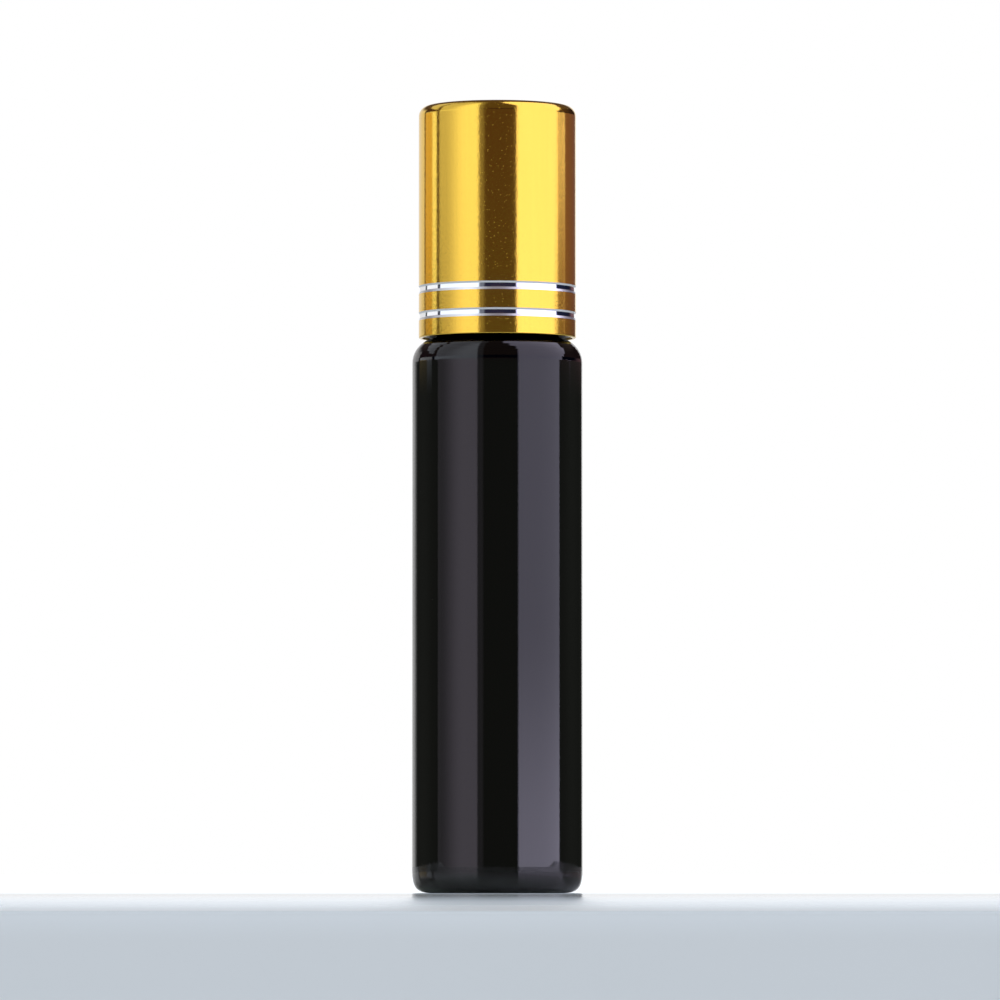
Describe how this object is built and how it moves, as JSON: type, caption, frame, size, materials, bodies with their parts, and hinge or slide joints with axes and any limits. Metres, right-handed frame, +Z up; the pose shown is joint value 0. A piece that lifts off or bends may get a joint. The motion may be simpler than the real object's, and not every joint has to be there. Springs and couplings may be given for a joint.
{
  "type": "roll-on bottle",
  "caption": "Slim dark glass roll-on bottle with a steel ball in a press-in fitment and a tall gold aluminium screw cap with turned grooves.",
  "frame": {"origin": "centre of the base, on the surface that the bottle stands on", "axes": "+Z up along the bottle's axis; the picture looks along +Y, with +X to the right"},
  "size_m": [0.0186, 0.0186, 0.086],
  "materials": {
    "bottle_glass": "gloss, very dark amber glass that looks black",
    "housing_plastic": "smooth natural polyethylene, slightly translucent",
    "ball_steel": "polished stainless steel",
    "pad_foam": "matt closed-cell foam",
    "liner_plastic": "black moulded polypropylene",
    "shell_gold": "bright gold anodising, with bare bright turned grooves"
  },
  "bodies": {
    "bottle": {"glass_bottle": "bottle_glass", "ball_housing": "housing_plastic"},
    "ball": {"roller_ball": "ball_steel"},
    "seal": {"seal_pad": "pad_foam"},
    "cap": {"inner_cap": "liner_plastic", "cap_shell": "shell_gold"}
  },
  "joints": [
    {"name": "ball_roll", "type": "hinge", "parent": "bottle", "child": "ball", "pos_m": [0, 0, 0.07151], "axis": [1, 0, 0], "continuous": true},
    {"name": "cap_lift", "type": "slide", "parent": "bottle", "child": "seal", "axis": [0, 0, 1], "range_m": [0, 0.0193]},
    {"name": "cap_turn", "type": "hinge", "parent": "seal", "child": "cap", "pos_m": [0, 0, 0.07761], "axis": [0, 0, 1], "range_deg": [0, 2160]}
  ],
  "couplings": [
    {"joint": "cap_lift", "follows": "cap_turn", "m_per_rad": 0.0005093}
  ]
}
